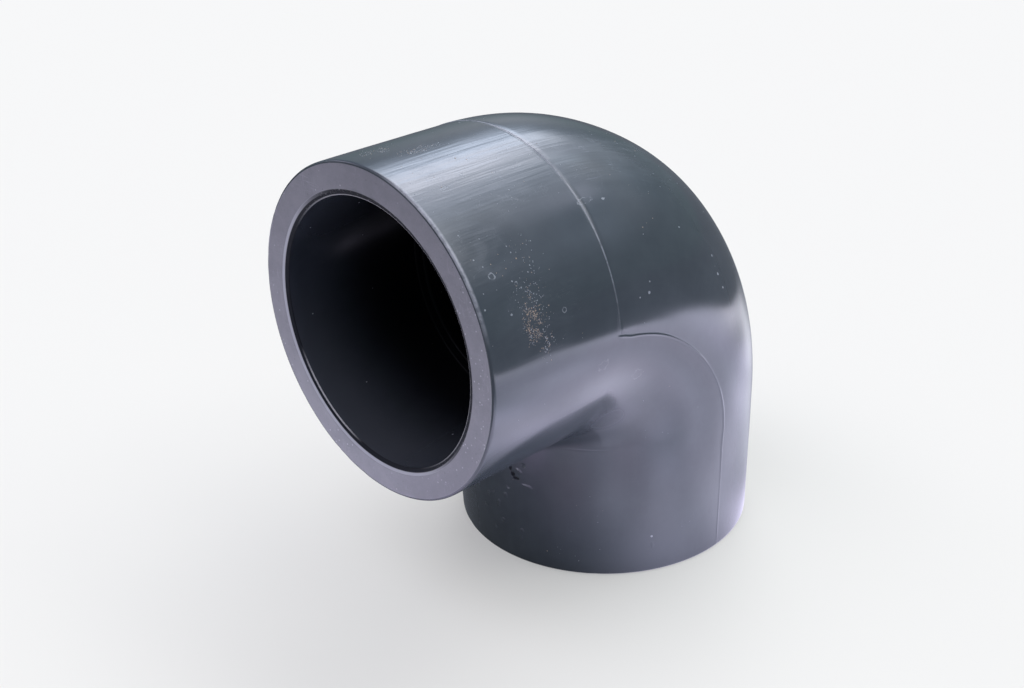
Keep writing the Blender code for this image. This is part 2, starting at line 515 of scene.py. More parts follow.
# ---------------------------------------------------------------- node helpers
class Net:
    """Makes and links shader nodes. Any value may be a number, a tuple or a socket."""

    def __init__(self, tree):
        self.tree = tree
        self.count = 0

    def node(self, kind, **settings):
        node = self.tree.nodes.new(kind)
        self.count += 1
        node.location = (self.count % 40 * 40, -(self.count // 40) * 260)
        for name, value in settings.items():
            setattr(node, name, value)
        return node

    def put(self, socket, value):
        if isinstance(value, bpy.types.NodeSocket):
            self.tree.links.new(value, socket)
        elif value is not None:
            socket.default_value = (*value, 1.0) if socket.type == "RGBA" else value

    def math(self, operation, first, second=None, clamp=False):
        node = self.node("ShaderNodeMath", operation=operation, use_clamp=clamp)
        self.put(node.inputs[0], first)
        self.put(node.inputs[1], second)
        return node.outputs[0]

    def times(self, *values):
        return reduce(lambda a, b: self.math("MULTIPLY", a, b), values)

    def plus(self, *values):
        return reduce(lambda a, b: self.math("ADD", a, b), values)

    def most(self, *values):
        return reduce(lambda a, b: self.math("MAXIMUM", a, b), values)

    def minus(self, first, second):
        return self.math("SUBTRACT", first, second)

    def size(self, value):
        return self.math("ABSOLUTE", value)

    def vec(self, operation, first, second=None):
        node = self.node("ShaderNodeVectorMath", operation=operation)
        self.put(node.inputs[0], first)
        self.put(node.inputs["Scale" if operation == "SCALE" else 1], second)
        is_number = operation in ("LENGTH", "DISTANCE", "DOT_PRODUCT")
        return node.outputs["Value" if is_number else 0]

    def scaled(self, vector, x, y, z):
        return self.vec("MULTIPLY", vector, (x, y, z))

    def split(self, value, kind="XYZ"):
        node = self.node("ShaderNodeSeparate" + kind)
        self.put(node.inputs[0], value)
        return node.outputs

    def ramp(self, value, over, to=(0.0, 1.0)):
        """Eased change between the `to` values as `value` goes over a range."""
        node = self.node("ShaderNodeMapRange", interpolation_type="SMOOTHSTEP", clamp=True)
        for socket, part in zip(node.inputs, (value, *over, *to)):
            self.put(socket, part)
        return node.outputs[0]

    def noise(self, vector, scale, detail=3.0, rough=0.55, distort=0.0):
        node = self.node("ShaderNodeTexNoise", noise_dimensions="3D")
        for name, value in (("Vector", vector), ("Scale", scale), ("Detail", detail),
                            ("Roughness", rough), ("Distortion", distort)):
            self.put(node.inputs[name], value)
        return node.outputs["Fac"]

    def cells(self, vector, scale, dimensions="3D"):
        """Distance to the nearest cell's centre, and three random values of that cell."""
        node = self.node("ShaderNodeTexVoronoi", voronoi_dimensions=dimensions, feature="F1")
        for name, value in (("Vector", vector), ("Scale", scale), ("Randomness", 1.0)):
            self.put(node.inputs[name], value)
        return node.outputs["Distance"], self.split(node.outputs["Color"], "Color")

    def mix(self, share, first, second):
        node = self.node("ShaderNodeMix", data_type="RGBA", blend_type="MIX")
        self.put(node.inputs["Factor"], share)
        self.put(node.inputs[6], first)
        self.put(node.inputs[7], second)
        return node.outputs[2]

    def layers(self, colour, *layers):
        """Lays (cover, colour) pairs over a colour, in order."""
        for cover, tint in layers:
            colour = self.mix(cover, colour, tint)
        return colour

    def colour(self, value):
        socket = self.node("ShaderNodeRGB").outputs[0]
        self.put(socket, value)
        return socket

    def mix_shaders(self, share, first, second):
        node = self.node("ShaderNodeMixShader")
        for socket, value in zip(node.inputs, (share, first, second)):
            self.put(socket, value)
        return node.outputs[0]

    def seen_directly(self, unseen, seen):
        """One shader for light and reflections, another for the camera."""
        camera_ray = self.node("ShaderNodeLightPath").outputs["Is Camera Ray"]
        return self.mix_shaders(camera_ray, unseen, seen)


def skin_place(degrees, along):
    """A place of the unrolled outside."""
    return RADIUS * degrees * DEGREE, along, 0.0


class PlasticNet(Net):
    """A plastic material, with the moulding's own coordinates in mm."""

    def __init__(self, name):
        self.material = bpy.data.materials.new(name)
        self.material.use_nodes = True
        super().__init__(self.material.node_tree)
        self.bsdf = self.tree.nodes["Principled BSDF"]
        self.bsdf.inputs["IOR"].default_value = 1.54

    def attribute(self, name, output="Vector"):
        node = self.node("ShaderNodeAttribute", attribute_type="GEOMETRY", attribute_name=name)
        return node.outputs[output]

    @cached_property
    def pipe(self):
        return self.attribute("pipe")

    @cached_property
    def pipe_parts(self):
        return self.split(self.pipe)

    @cached_property
    def flat(self):
        return self.attribute("flat")

    @cached_property
    def flat_parts(self):
        return self.split(self.flat)

    @cached_property
    def solid(self):
        return self.vec("SCALE", self.node("ShaderNodeTexCoord").outputs["Object"], 1000.0)

    @cached_property
    def wobble(self):
        """Unevenness about zero, which breaks up outlines."""
        return self.minus(self.noise(self.solid, scale=1.3, detail=3), 0.5)

    def below_mouth(self, along):
        return self.math("MINIMUM", along, self.minus(TOTAL, along))

    def facing(self, degrees):
        """Cosine of the angle round the section from this direction."""
        direction = (math.cos(degrees * DEGREE) / RADIUS, math.sin(degrees * DEGREE) / RADIUS, 0.0)
        return self.vec("DOT_PRODUCT", self.pipe, direction)

    def side(self, degrees, outside, inside):
        """1 within `inside` degrees of this angle round the section, 0 beyond `outside`."""
        over = (math.cos(outside * DEGREE), math.cos(inside * DEGREE))
        return self.ramp(self.facing(degrees), over=over)

    def oval(self, degrees, along, half_width, half_length):
        """Distance from a place of the skin, measured so that an oval's outline is at 1."""
        offset = self.vec("SUBTRACT", self.flat, skin_place(degrees, along))
        return self.vec("LENGTH", self.scaled(offset, 1 / half_width, 1 / half_length, 0.0))

    def patch(self, degrees, along, half_width, half_length, core=0.0, strength=1):
        """Soft oval patch of the skin, full inside its core."""
        shape = self.ramp(self.oval(degrees, along, half_width, half_length), over=(1.0, core))
        return shape if strength == 1 else self.times(shape, strength)

    def patches(self, table):
        return self.most(*[self.patch(*row) for row in table])

    def hairs(self, vector, stretch, shift, scale, width, distort):
        """Thin lines where a stretched noise crosses its middle."""
        place = self.vec("ADD", self.scaled(vector, *stretch), shift)
        value = self.noise(place, scale=scale, detail=2, rough=0.5, distort=distort)
        return self.ramp(self.size(self.minus(value, 0.5)), over=(width, 0.0))

    def finish(self, colour, specular, roughness, height):
        """Wires up the surface; the height is in micrometres."""
        bump = self.node("ShaderNodeBump")
        self.put(bump.inputs["Distance"], 1e-6)
        self.put(bump.inputs["Height"], height)
        for name, value in (("Base Color", colour), ("Specular IOR Level", specular),
                            ("Roughness", roughness), ("Normal", bump.outputs[0])):
            self.put(self.bsdf.inputs[name], value)
        return self.material


# ------------------------------------------------------------------------ skin
# Patches: degrees, along, half width, half length, solid core, strength.
RUBBED = [
    (67, 14, 15, 34, 0.2, 1), (62, 38, 15, 24, 0.0, 0.9), (112, 20, 14, 34, 0.0, 1),
    (40, 5, 13, 10, 0.0, 0.8), (18, 12, 12, 14, 0.0, 0.7), (190, 60, 26, 34, 0.0, 0.5),
    (100, 74, 26, 30, 0.0, 0.6),
]
GRIT_CORE = (15.5, 10.4, 5.6, 3.4, 0.1)
GRIT_AROUND = [
    (19.0, 11.0, 8.0, 4.6, 0.1, 0.26), (7.0, 12.6, 3.6, 2.6, 0.1, 0.34),
    (33.0, 12.5, 7.0, 5.5, 0.1, 0.07),
]
GRIT_ON_TOP = [(86.0, 11.4, 1.7, 6.5, 0.1, 0.55), (96.0, 7.0, 3.0, 5.0, 0.1, 0.30)]
DULL_THROAT = (-40.5, BEND_START + 0.36 * BEND_LENGTH, 6.0, 15.0, 0.2, 0.26)

# Pale rings: degrees, along, radius, line width, strength.
RINGS = [(32.8, 5.2, 0.52, 0.17, 0.55), (28.0, 9.2, 0.34, 0.16, 0.55), (15.4, 17.4, 0.42, 0.16, 0.40)]
# Pale curls: degrees, along, half width, half length, line width as a share, strength.
CURLS = [
    (-18.0, 39.6, 1.1, 1.7, 0.16, 0.22), (-9.0, 26.0, 0.9, 1.4, 0.16, 0.16),
    (44.0, 30.0, 0.5, 1.2, 0.2, 0.4),
]
# Pale spots: degrees, along, radius.
SPOTS = [
    (26.6, 9.9, 0.26), (29.3, 8.6, 0.20), (43.0, 32.6, 0.28), (14.3, 36.8, 0.26),
    (10.8, 36.7, 0.30), (9.6, 34.6, 0.20), (26.0, 53.6, 0.34), (30.5, 51.8, 0.26),
    (23.5, 55.6, 0.24), (33.8, 44.2, 0.2), (20.3, 6.4, 0.3), (-29.5, 98.0, 0.28),
    (152, 20, 0.4), (170, 66, 0.34), (120, 90, 0.42), (39.0, 3.4, 0.13),
    (36.2, 4.4, 0.15), (47.5, 3.2, 0.14), (29.0, 2.4, 0.16), (24.5, 1.6, 0.18),
]
# Painted shade in the dents of the lower socket: degrees, z, half width, half length.
DENT_SHADE = [(-83.2, -37.6, 0.42, 1.15), (-82.2, -39.3, 0.60, 0.62), (-80.8, -40.0, 0.85, 0.36)]
# Dents and pimples of the lower socket: the same, and the height in micrometres.
FINE_KNOCKS = [
    (-83.2, -37.6, 0.34, 1.0, -230.0), (-82.4, -39.2, 0.42, 0.62, -260.0),
    (-80.6, -39.9, 0.75, 0.36, -200.0), (-77.4, -36.5, 0.50, 0.46, -220.0),
    (-79.6, -38.3, 0.8, 0.7, 90.0), (-76.2, -41.3, 1.3, 0.55, 75.0),
    (-95.5, -46.8, 0.62, 0.70, 120.0), (-93.0, -45.6, 0.4, 0.5, -90.0),
    (-90.0, -47.9, 0.50, 0.95, 120.0), (-88.0, -51.5, 0.60, 0.50, 110.0),
    (-86.4, -45.0, 0.55, 0.55, 80.0), (-79.0, -52.2, 0.48, 0.5, 110.0),
    (-79.6, -54.0, 0.42, 0.62, 90.0), (-99.0, -43.2, 0.45, 0.6, 100.0),
    (-97.5, -50.0, 0.6, 0.45, 80.0), (-102.0, -46.5, 0.5, 0.8, 80.0),
    (-92.0, -54.0, 0.45, 0.7, 70.0), (-84.6, -42.6, 0.5, 0.5, -80.0),
    (-29.2, -53.4, 0.35, 0.7, 60.0),
]


def skin_haze(net, wear):
    stretched = net.vec("ADD", net.scaled(net.pipe, 1.0, 1.0, 0.30), (7.0, 1.0, 3.0))
    cloud = net.noise(stretched, scale=0.17, detail=5, rough=0.68, distort=0.8)
    return net.times(wear, net.ramp(cloud, over=(0.42, 0.66)))


def skin_scratches(net, wear):
    """Short scratches along and across the pipe, mostly where it is rubbed."""
    lengthwise = net.hairs(net.pipe, stretch=(1.0, 1.0, 0.12), shift=(3.1, 7.13, 2.17),
                           scale=0.9, width=0.012, distort=1.2)
    crosswise = net.hairs(net.pipe, stretch=(0.25, 0.25, 1.0), shift=(9.7, 22.31, 6.79),
                          scale=0.7, width=0.010, distort=1.2)
    gate = net.ramp(net.noise(net.solid, scale=0.22, detail=3, rough=0.6), over=(0.50, 0.64))
    return net.times(net.most(lengthwise, net.times(crosswise, 0.7)), gate,
                     net.ramp(wear, over=(0.0, 1.0), to=(0.10, 1.0)))


def grit_grains(net, scale, density, sizes, shift):
    """Small flat cells, a share of them filled; also each cell's random hue."""
    distance, chance = net.cells(net.vec("ADD", net.flat, shift), scale, "2D")
    filled = net.math("LESS_THAN", chance[0], density)
    size = net.ramp(chance[2], over=(0.0, 1.0), to=sizes)
    body = net.ramp(distance, over=(size, net.times(size, 0.45)))
    return net.times(filled, body), chance[1]


def skin_grit(net, wear):
    """Cover and colour of the grit: thick in one cluster, with loose grains elsewhere."""
    core = net.patch(*GRIT_CORE)
    thick = net.most(net.times(core, 0.70), net.patches(GRIT_AROUND), net.patches(GRIT_ON_TOP))
    uneven = net.ramp(net.noise(net.solid, scale=0.8, detail=3, rough=0.6), over=(0.36, 0.62))
    thick = net.times(thick, uneven)
    areas = net.ramp(net.noise(net.solid, scale=0.09, detail=2, rough=0.5), over=(0.5, 0.75))
    loose = net.plus(net.times(wear, 0.0022), net.times(areas, 0.0012))
    coarse, coarse_hue = grit_grains(
        net, scale=3.3, density=net.plus(net.times(thick, 0.75), loose),
        sizes=(0.26, 0.56), shift=(5.0, 1.85, 0.0))
    fine, fine_hue = grit_grains(
        net, scale=5.2, density=net.plus(net.times(thick, 0.9), net.times(loose, 1.6)),
        sizes=(0.30, 0.58), shift=(11.0, 4.07, 0.0))
    tan, white = (0.40, 0.285, 0.18), (0.34, 0.36, 0.37)
    tan_share = net.ramp(core, over=(0.1, 0.8), to=(0.30, 0.88))
    coarse_colour = net.mix(net.math("GREATER_THAN", coarse_hue, tan_share), tan, white)
    fine_colour = net.mix(net.math("GREATER_THAN", fine_hue, tan_share), tan, white)
    cover = net.most(coarse, net.times(fine, 0.8))
    return cover, net.mix(coarse, fine_colour, coarse_colour)


def skin_marks(net):
    """Pale rings, curls and spots."""
    broken = net.ramp(net.noise(net.solid, scale=1.1, detail=2, rough=0.6),
                      over=(0.40, 0.56), to=(0.15, 1.0))

    def stroke(distance, waver, radius, width, strength):
        uneven = net.plus(distance, net.times(net.wobble, waver))
        offset = net.size(net.minus(uneven, radius))
        return net.times(net.ramp(offset, over=(width, width * 0.3)), broken, strength)

    def distance_from(degrees, along):
        return net.vec("DISTANCE", net.flat, skin_place(degrees, along))

    marks = []
    for degrees, along, radius, width, strength in RINGS:
        marks.append(stroke(distance_from(degrees, along), 0.7, radius, width, strength))
    for *oval, width, strength in CURLS:
        marks.append(stroke(net.oval(*oval), 1.6, 1.0, width, strength))
    for degrees, along, radius in SPOTS:
        uneven = net.plus(distance_from(degrees, along), net.times(net.wobble, radius * 2.2))
        marks.append(net.times(net.ramp(uneven, over=(radius, radius * 0.45)), 0.8))
    return net.most(*marks)


def uneven_oval(net, degrees, z, half_width, half_length):
    """About 1 on the outline of a small patch of the lower socket, less inside."""
    oval = net.oval(degrees, along_at(-z, lower=True), half_width, half_length)
    return net.plus(oval, net.times(net.wobble, 0.9))


def line_highlights(net):
    """Painted highlights: on the crest of the ring mould line, stronger on top, and on the horizontal
    rim's +X upper edge.
    """
    _, height, along = net.pipe_parts
    uneven = net.ramp(net.noise(net.solid, scale=0.7, detail=3, rough=0.6),
                      over=(0.30, 0.62), to=(0.45, 1.0))
    from_crest = net.size(net.plus(net.attribute("ring", "Fac"), 0.02))
    stronger_on_top = net.ramp(height, over=(1.0, 16.0), to=(0.18, 0.85))
    crest_highlight = net.times(net.ramp(from_crest, over=(0.21, 0.07)), net.times(uneven, stronger_on_top))
    at_rim = net.times(net.ramp(along, over=(0.03, 0.12)), net.ramp(along, over=(0.95, 0.45)))
    lip_highlight = net.times(at_rim, net.side(46, outside=34, inside=14), uneven)
    return crest_highlight, lip_highlight


def painted_throat_shade(net):
    """Painted shade: the fillet between the sockets, on the throat side of the bend, is darkened here.
    """
    _, height, along = net.pipe_parts
    edges = (RADIUS * math.sin(46.9 * DEGREE), RADIUS * math.sin(48.3 * DEGREE))
    return net.times(net.ramp(net.minus(0.0, height), over=edges),
                     net.ramp(along, over=(BEND_START - 0.5, BEND_START + 4.0)),
                     net.ramp(along, over=(BEND_END + 2.0, BEND_END - 17.0)))


def skin_material():
    net = PlasticNet("moulded_grey_skin")
    mottle = net.noise(net.solid, scale=0.06, detail=4, rough=0.6)
    streak = net.noise(net.scaled(net.pipe, 1.0, 1.0, 0.045), scale=0.42, detail=3, rough=0.62)
    fine_streak = net.noise(net.scaled(net.pipe, 1.0, 1.0, 0.06), scale=1.5, detail=3, rough=0.6)
    wear = net.patches(RUBBED)
    haze = skin_haze(net, wear)
    scratch = skin_scratches(net, wear)
    grain, grain_colour = skin_grit(net, wear)
    mark = skin_marks(net)
    mouth_edge = net.times(
        net.ramp(net.below_mouth(net.flat_parts[1]), over=(1.0, 0.4)),
        net.ramp(net.noise(net.solid, scale=0.9, detail=4, rough=0.7), over=(0.62, 0.76)))
    # painted highlights on the mould line's crest and the rim's upper edge
    crest_highlight, lip_highlight = line_highlights(net)
    # painted shade darkens the throat's fillet
    throat_shade = painted_throat_shade(net)
    # painted shade, very dark, in the dents of the lower socket
    dent_shade = net.most(*[net.ramp(uneven_oval(net, *row), over=(1.2, 0.7)) for row in DENT_SHADE])

    tone = net.plus(net.times(mottle, 0.85), net.times(streak, 0.15))
    plastic = net.mix(net.ramp(tone, over=(0.32, 0.68)), (0.050, 0.060, 0.066), (0.066, 0.077, 0.084))
    colour = net.layers(
        plastic,
        (net.times(haze, 0.14), (0.20, 0.22, 0.24)),
        # painted highlights on the mould line's crest and the rim's upper edge
        (crest_highlight, (0.26, 0.27, 0.285)),
        (lip_highlight, (0.30, 0.30, 0.315)),
        (net.times(scratch, 0.30), (0.30, 0.32, 0.34)),
        (net.times(mouth_edge, 0.25), (0.30, 0.30, 0.33)),
        (net.times(mark, 0.75), (0.42, 0.44, 0.45)),
        (net.times(grain, 0.92), grain_colour),
        # painted shade in the throat's fillet
        (net.times(throat_shade, 0.40), (0.022, 0.026, 0.032)),
        # painted shade in the dents of the lower socket
        (net.times(dent_shade, 0.9), (0.010, 0.011, 0.014)))
    # the painted shade of the dents and of the fillet also dims their reflection
    specular = net.minus(0.5, net.most(net.times(dent_shade, 0.42), net.times(throat_shade, 0.15)))

    # a base roughness, and what each feature adds to it
    rough = net.plus(
        0.135, net.times(haze, 0.16), net.times(net.most(crest_highlight, lip_highlight), 0.25),
        net.patch(*DULL_THROAT), net.times(scratch, 0.10), net.times(mouth_edge, 0.20),
        net.times(mark, 0.35))
    rough = net.math("ADD", rough, net.times(grain, 0.50), clamp=True)

    # moulded grain everywhere, flow streaks where the skin is rubbed, then the features
    streaks = net.plus(net.times(streak, 150.0), net.times(fine_streak, 24.0))
    height = net.plus(
        net.times(net.noise(net.solid, scale=0.55, detail=2, rough=0.5), 2.6),
        net.times(net.noise(net.solid, scale=3.2, detail=2, rough=0.6), 0.45),
        net.times(streaks, net.ramp(wear, over=(0.0, 1.0), to=(0.012, 1.0))))
    height = net.minus(height, net.times(scratch, 3.0))
    height = net.plus(height, net.times(grain, 40.0), net.times(mark, 14.0))
    for *oval, rise_height in FINE_KNOCKS:
        shape = net.ramp(uneven_oval(net, *oval), over=(1.35, 0.25))
        height = net.plus(height, net.times(shape, rise_height))
    return net.finish(colour, specular, rough, height)


# -------------------------------------------------------------- faces and bore
# Hair scratches of the end faces: stretch, shift, width.
FACE_HAIRS = [
    ((1.0, 0.2, 0.12), (4.0, 6.8, 1.2), 0.012),
    ((0.15, 0.3, 1.0), (8.5, 14.45, 2.55), 0.010),
    ((0.7, 0.7, 0.5), (17.0, 28.9, 5.1), 0.008),
]


def face_scratches(net):
    first, second, third = (net.hairs(net.solid, stretch, shift, 0.5, width, 1.0)
                            for stretch, shift, width in FACE_HAIRS)
    gate = net.ramp(net.noise(net.solid, scale=0.16, detail=3, rough=0.6), over=(0.48, 0.66))
    return net.times(net.most(first, net.most(second, third)), gate)


def face_flecks(net):
    """Pale flecks, more of them on the +X side, and a few dark ones."""
    distance, chance = net.cells(net.solid, scale=1.9)
    from_side = net.size(net.plus(net.flat_parts[0], RADIUS * 12 * DEGREE))
    side = net.ramp(from_side, over=(RADIUS * 55 * DEGREE, RADIUS * 15 * DEGREE))
    areas = net.ramp(net.noise(net.solid, scale=0.1, detail=2), over=(0.45, 0.7), to=(0.01, 0.09))
    chosen = net.math("LESS_THAN", chance[0], net.plus(areas, net.times(side, 0.12)))
    pale = net.times(chosen, net.ramp(distance, over=(0.40, 0.12)))
    dark = net.times(net.math("GREATER_THAN", chance[0], 0.975),
                     net.ramp(distance, over=(0.36, 0.10)))
    return pale, dark


def face_material():
    """End faces and lead-in chamfers: the same plastic left matt and pale, scratched, with painted
    highlights at the chamfer's edges and painted shade down it.
    """
    net = PlasticNet("matt_end_face")
    mottle = net.noise(net.solid, scale=0.12, detail=5, rough=0.65)
    grit = net.noise(net.solid, scale=4.0, detail=3, rough=0.7)
    chips = net.noise(net.solid, scale=2.4, detail=4, rough=0.75)
    scratch = face_scratches(net)
    fleck, dark_fleck = face_flecks(net)

    # depth down the chamfer: 0 on the face, 1 at the bore
    down = net.math("DIVIDE", net.below_mouth(net.flat_parts[1]), CHAMFER_DEPTH)
    chipped = net.side(40.0, outside=108.0, inside=62.0)
    # on the throat's -X side the bore's edge gets a painted highlight too, as a second line
    throat_side_highlight = net.side(-131.0, outside=27.0, inside=8.0)
    lip_highlight = net.times(net.ramp(down, over=(0.0, 0.06)), net.ramp(down, over=(0.44, 0.32)))
    bore_edge_highlight = net.times(net.ramp(down, over=(0.80, 0.90)), net.most(chipped, throat_side_highlight))
    # a painted highlight on the lip, then painted shade; painted shade from the start where it is
    # chipped
    chamfer_shade = net.most(net.times(net.ramp(down, over=(0.02, 0.12)), chipped),
                     net.ramp(down, over=(0.34, 0.46)))
    chipped_off = net.times(net.ramp(chips, over=(0.58, 0.68)), chipped)
    chamfer_shade = net.times(chamfer_shade, net.minus(1.0, chipped_off))

    tone = net.plus(net.times(mottle, 0.7), net.times(grit, 0.3))
    plastic = net.mix(net.ramp(tone, over=(0.36, 0.64)), (0.176, 0.172, 0.186), (0.222, 0.217, 0.232))
    colour = net.layers(
        plastic,
        (net.times(scratch, 0.32), (0.38, 0.38, 0.40)),
        (net.times(fleck, 0.7), (0.50, 0.50, 0.52)),
        (net.times(dark_fleck, 0.5), (0.07, 0.07, 0.08)),
        # painted highlight on the lip, painted shade down the chamfer, and a painted highlight along
        # the bore's edge
        (net.times(lip_highlight, net.minus(0.9, net.times(chipped, 0.9))), (0.40, 0.40, 0.42)),
        (chamfer_shade, (0.012, 0.013, 0.016)),
        (net.times(bore_edge_highlight, net.ramp(chips, over=(0.34, 0.46), to=(0.35, 1.0))),
         (0.42, 0.41, 0.40)))
    height = net.minus(net.plus(net.times(grit, 3.0), net.times(mottle, 6.0)),
                       net.times(scratch, 5.0))
    height = net.plus(height, net.times(fleck, 12.0), net.times(chips, chamfer_shade, 60.0))
    return net.finish(colour, specular=net.minus(0.5, net.times(chamfer_shade, 0.44)),
                      roughness=net.plus(0.50, net.times(grit, 0.10)), height=height)


def bore_material():
    """Bores and waterway: smooth, with faint rings and dust; their colour is painted darker than the
    skin's as shade, paler near the mouths as painted light and darker deeper in as more painted shade.
    """
    net = PlasticNet("smooth_bore")
    depth = net.below_mouth(net.pipe_parts[2])
    mottle = net.noise(net.pipe, scale=0.08, detail=4, rough=0.6)
    rings_noise = net.noise(net.scaled(net.pipe, 0.02, 0.02, 1.0), scale=1.4, detail=3, rough=0.6)
    # painted light: paler near the mouths on the throat's -X side
    painted_bore_light = net.times(net.ramp(net.facing(-122), over=(0.25, 0.95)),
                          net.ramp(depth, over=(22.0, 2.0)))
    distance, chance = net.cells(net.pipe, scale=1.1)
    dust = net.times(net.math("LESS_THAN", chance[0], 0.012),
                     net.ramp(distance, over=(0.24, 0.08)))
    # painted shade: the bore's plastic is darker than the skin's
    plastic = net.mix(net.ramp(mottle, over=(0.35, 0.65)), (0.024, 0.028, 0.034), (0.032, 0.037, 0.045))
    colour = net.layers(
        plastic,
        # painted light near the mouths
        (net.times(painted_bore_light, 0.8), (0.055, 0.058, 0.064)),
        # painted shade, darker deeper into the bore
        (net.ramp(depth, over=(2.0, 26.0)), (0.004, 0.0045, 0.006)),
        (net.times(dust, 0.7), (0.30, 0.31, 0.33)))
    rough = net.plus(0.20, net.times(rings_noise, 0.08))
    rough = net.math("ADD", rough, net.times(dust, 0.5), clamp=True)
    fine = net.noise(net.pipe, scale=1.2, detail=2)
    height = net.plus(net.times(rings_noise, 3.0), net.times(fine, 2.0), net.times(dust, 20.0))
    specular = net.ramp(depth, over=(3.0, 20.0), to=(0.5, 0.06))
    return net.finish(colour, specular, rough, height)


for make_material in (skin_material, face_material, bore_material):
    elbow_mesh.materials.append(make_material())

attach(elbow, "root")
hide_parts("elbow_body")

# ---------------------------------------------------------------------- studio
BACKDROP = (0.93, 0.935, 0.945)
SHADOW = 0.62                          # how much of the table's own shading is shown
AMBIENT_TOP = (0.0, 0.0, 0.081)
AMBIENT_SIDE = (0.144, 0.196, 0.202)
FLOOR_BASE = (0.136, 0.146, 0.168)
FLOOR_HALF, FLOOR_CELLS, FLOOR_Z = 4.0, 8, -0.0002     # metres

# Soft lobes of light: azimuth from -Y towards +X, elevation and width in degrees, colour.
SKY = [
    (75, 3, 9, (0.246, 0.272, 0.423)), (-135, 14, 9, (0.401, 0.393, 0.424)),
    (75, 14, 9, (0.424, 0.554, 0.729)), (-180, 26, 10, (0.203, 0.282, 0.336)),
    (-162, 26, 10, (0.7, 0.77, 0.871)), (-72, 26, 10, (2.162, 2.026, 2.703)),
    (72, 26, 10, (0.624, 0.738, 1.073)), (144, 26, 10, (0.585, 0.694, 0.848)),
    (162, 26, 10, (0.417, 0.446, 0.503)), (-180, 38, 10, (0.927, 0.921, 0.931)),
    (-140, 38, 10, (3.441, 4.014, 4.983)), (160, 38, 10, (0.308, 0.442, 0.53)),
    (-180, 50, 11, (0.535, 0.696, 0.881)), (-158, 50, 11, (3.248, 3.404, 3.825)),
    (-135, 50, 11, (3.233, 3.136, 3.364)), (-45, 50, 11, (2.241, 2.145, 2.61)),
    (-22, 50, 11, (2.017, 1.849, 2.019)), (0, 50, 11, (1.236, 1.072, 1.227)),
    (22, 50, 11, (0.871, 0.774, 0.823)), (45, 50, 11, (0.27, 0.249, 0.255)),
    (68, 50, 11, (0.243, 0.276, 0.418)), (-180, 65, 14, (2.811, 2.94, 3.438)),
    (-20, 65, 14, (2.022, 2.096, 2.41)), (20, 65, 14, (2.672, 2.844, 3.528)),
    (-150, 33, 5.5, (2.13, 2.197, 2.406)), (-170, 40, 5.5, (0.699, 0.918, 1.122)),
    (160, 40, 5.5, (1.679, 1.651, 2.0)), (-150, 47, 5.5, (2.26, 2.257, 2.573)),
    (152, 60, 9, (4.5, 4.7, 5.0)), (130, 49, 8, (5.5, 5.7, 6.1)),
    (118, 36, 8, (4.0, 4.1, 4.4)), (100, 46, 7, (4.0, 4.2, 4.5)),
    (104, 62, 7, (4.0, 4.2, 4.5)),
]
